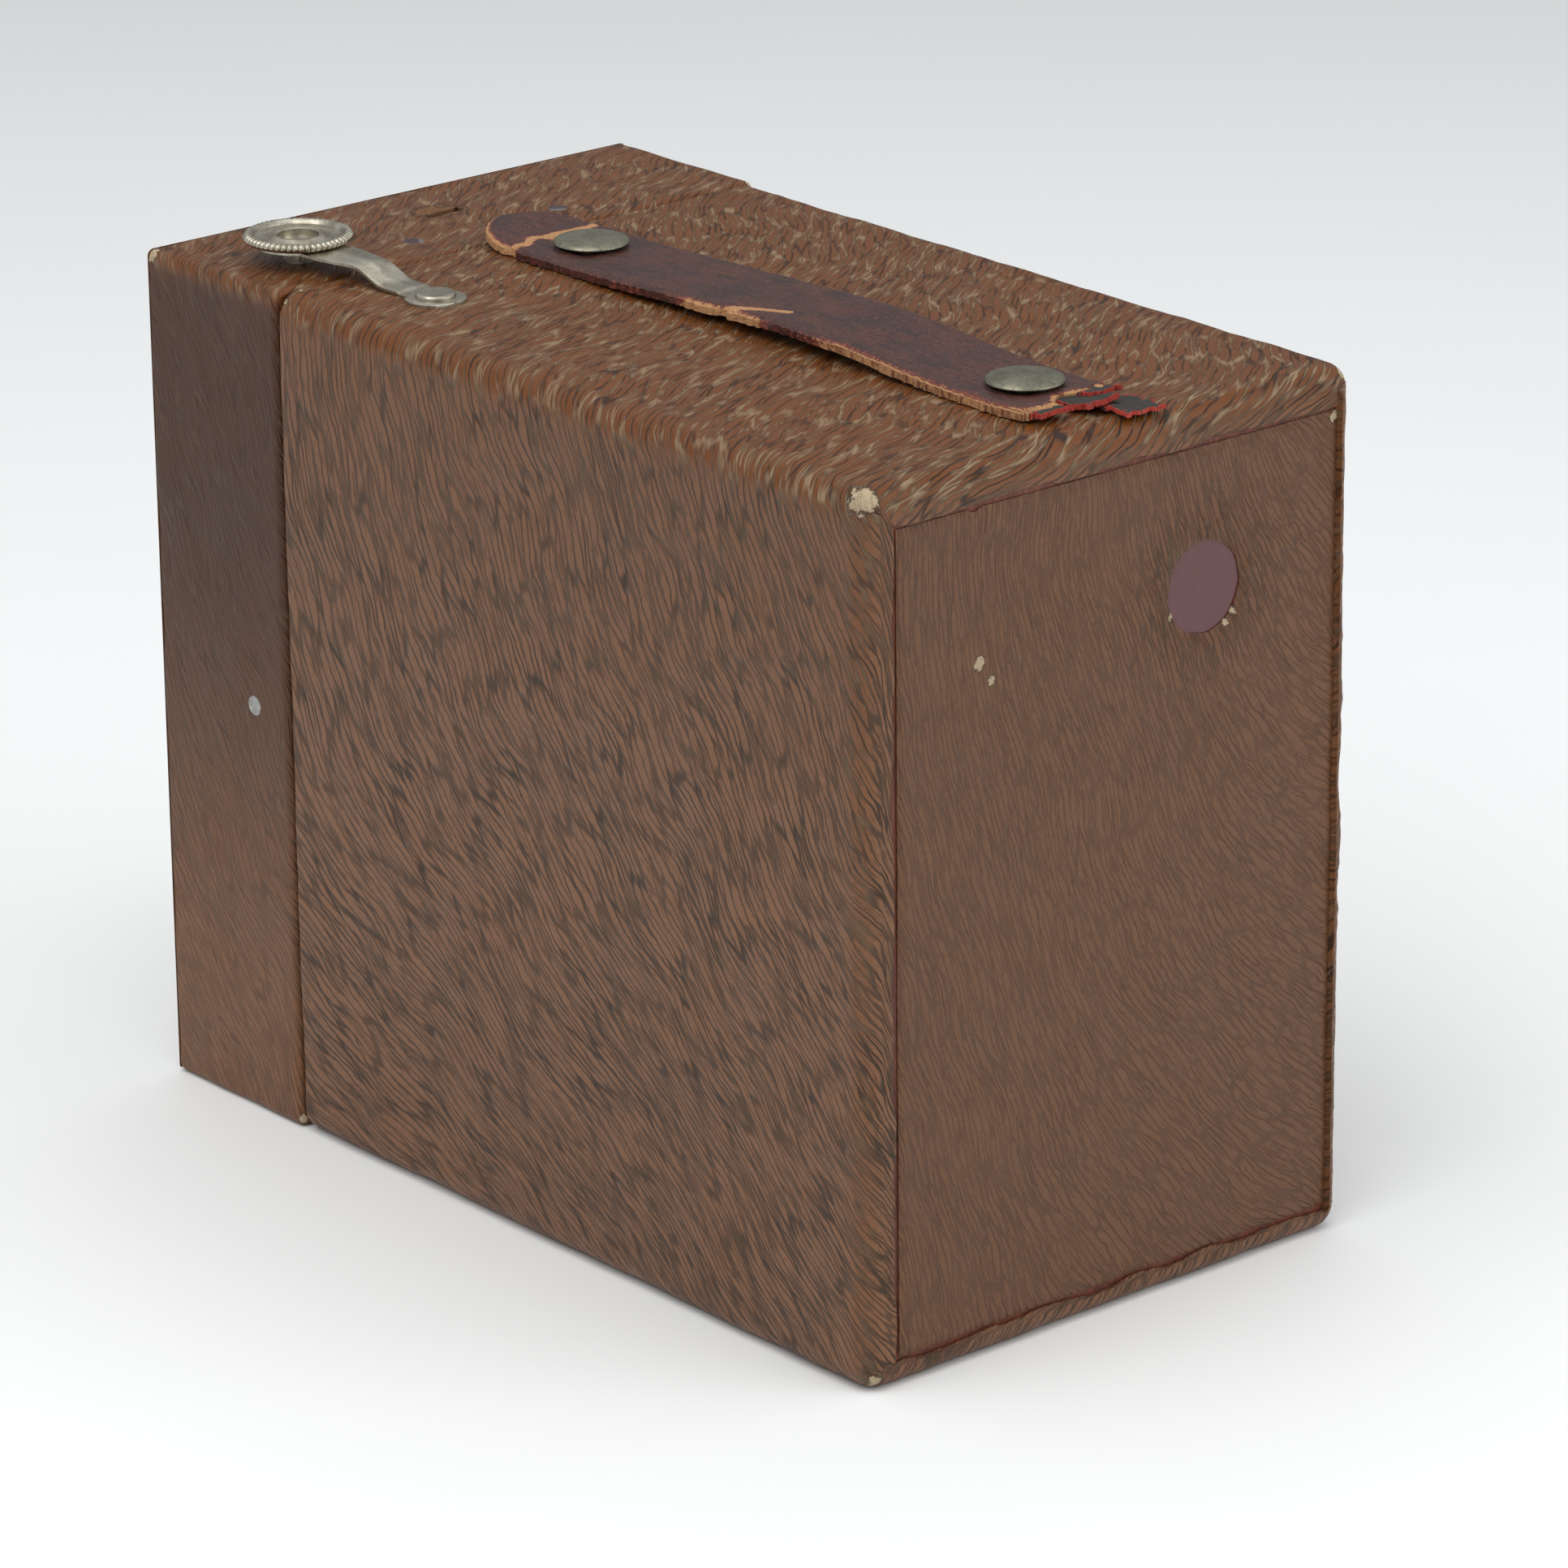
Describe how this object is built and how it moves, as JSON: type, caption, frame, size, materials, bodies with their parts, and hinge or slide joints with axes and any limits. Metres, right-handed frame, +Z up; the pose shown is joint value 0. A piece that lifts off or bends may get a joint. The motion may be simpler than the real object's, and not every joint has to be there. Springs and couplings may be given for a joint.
{
  "type": "box camera",
  "caption": "Leather-covered wooden box camera: side-hinged front section with spring latch, carrying strap, red film window, lens, shutter and roll-film transport inside.",
  "frame": {"origin": "middle of the base on the surface it stands on, halfway from lens end to back and from side to side", "axes": "+Z up; +Y from the lens end to the back with the red window; X across, with the latch on the +X side and the hinges and winding key on the -X side"},
  "size_m": [0.137, 0.2169, 0.1809],
  "materials": {
    "board": "stained mahogany, matt",
    "case_leather": "long-grained brown leather, waxy",
    "back_leather": "fine-grained brown leather, matt",
    "front_leather": "long-grained brown leather, waxy",
    "red_celluloid": "dusty ruby celluloid",
    "nickel": "worn nickel plate",
    "dull_nickel": "tarnished nickel plate",
    "strap_leather": "dark maroon strap leather, worn edges",
    "blackened_metal": "dead black lacquer",
    "brass": "lacquered brass",
    "steel": "plain steel",
    "spool_wood": "turned beech",
    "film_paper": "red and black backing paper",
    "optical_glass": "polished",
    "ground_glass": "ground",
    "mirror": "silvered"
  },
  "bodies": {
    "case": {"case_top_board": "board", "case_base_board": "board", "case_left_board": "board", "case_right_board": "board", "case_back_board": "board", "case_leather": "case_leather", "case_base_leather": "case_leather", "back_leather": "back_leather", "red_window": "red_celluloid", "tripod_bush": "brass", "mouth_frame": "blackened_metal", "light_cone": "blackened_metal", "film_gate": "blackened_metal", "transport_pins": "steel", "film_strip": "film_paper", "key_bush": "nickel", "strap_studs": "dull_nickel", "stud_nuts": "steel", "latch_foot": "nickel", "latch_rivet": "nickel", "hinge_case_leaves": "nickel", "hinge_pins": "steel", "hinge_case_screws": "steel"},
    "front_section": {"front_top_rim": "board", "front_base_rim": "board", "front_side_rims": "board", "front_board": "board", "front_leather": "front_leather", "front_face_leather": "front_leather", "front_base_leather": "front_leather", "lens_board": "board", "lens_screws": "steel", "lens_barrel": "brass", "lens_glass": "optical_glass", "lens_ring": "brass", "shutter_plate": "blackened_metal", "plate_pillars": "brass", "shutter_pivots": "steel", "lever_spring": "blackened_metal", "stop_guides": "blackened_metal", "front_ring": "nickel", "latch_stud": "nickel", "finder_lens": "optical_glass", "finder_screen": "ground_glass", "finder_mirror": "mirror", "hinge_front_leaves": "nickel", "hinge_front_screws": "steel"},
    "latch": {"latch_arm": "nickel", "latch_ring": "nickel"},
    "strap": {"strap": "strap_leather"},
    "winding_key": {"winding_key": "nickel"},
    "take_up_spool": {"take_up_spool": "spool_wood", "take_up_film": "film_paper"},
    "supply_spool": {"supply_spool": "spool_wood", "supply_film": "film_paper"},
    "upper_roller": {"upper_roller": "steel"},
    "lower_roller": {"lower_roller": "steel"},
    "shutter_lever": {"shutter_lever": "blackened_metal"},
    "shutter_disc": {"shutter_disc": "blackened_metal"},
    "stop_slide": {"stop_slide": "blackened_metal"}
  },
  "joints": [
    {"name": "front_hinge", "type": "hinge", "parent": "case", "child": "front_section", "pos_m": [-0.0634, -0.065, 0.0875], "axis": [0, 0, -1], "range_deg": [0, 95]},
    {"name": "latch_flex", "type": "hinge", "parent": "case", "child": "latch", "pos_m": [0.041, -0.047, 0.1757], "axis": [-1, 0, 0], "range_deg": [-2.5, 12], "stiffness_Nm_per_rad": 0.4},
    {"name": "strap_slide", "type": "slide", "parent": "case", "child": "strap", "axis": [0, 1, 0], "range_m": [-0.0018, 0.0018]},
    {"name": "key_turn", "type": "hinge", "parent": "case", "child": "winding_key", "pos_m": [-0.062, -0.042, 0.151], "axis": [-1, 0, 0], "continuous": true},
    {"name": "take_up_turn", "type": "hinge", "parent": "case", "child": "take_up_spool", "pos_m": [0, -0.042, 0.151], "axis": [-1, 0, 0], "continuous": true},
    {"name": "supply_turn", "type": "hinge", "parent": "case", "child": "supply_spool", "pos_m": [0, -0.042, 0.024], "axis": [-1, 0, 0], "continuous": true},
    {"name": "upper_roller_turn", "type": "hinge", "parent": "case", "child": "upper_roller", "pos_m": [0, 0.0944, 0.1565], "axis": [-1, 0, 0], "continuous": true},
    {"name": "lower_roller_turn", "type": "hinge", "parent": "case", "child": "lower_roller", "pos_m": [0, 0.0944, 0.0185], "axis": [-1, 0, 0], "continuous": true},
    {"name": "shutter_lever_turn", "type": "hinge", "parent": "front_section", "child": "shutter_lever", "pos_m": [-0.036, -0.0851, 0.09], "axis": [0, 1, 0], "range_deg": [-24, 0]},
    {"name": "shutter_disc_turn", "type": "hinge", "parent": "front_section", "child": "shutter_disc", "pos_m": [0, -0.0822, 0.0675], "axis": [0, 1, 0], "range_deg": [-120.5, 0.5]},
    {"name": "stop_pull", "type": "slide", "parent": "front_section", "child": "stop_slide", "axis": [0, 0, 1], "range_m": [0, 0.036]}
  ],
  "couplings": [
    {"joint": "take_up_turn", "follows": "key_turn", "ratio": 1},
    {"joint": "supply_turn", "follows": "key_turn", "ratio": 1},
    {"joint": "upper_roller_turn", "follows": "key_turn", "ratio": 2.5},
    {"joint": "lower_roller_turn", "follows": "key_turn", "ratio": 2.5},
    {"joint": "shutter_disc_turn", "follows": "shutter_lever_turn", "ratio": 5}
  ]
}
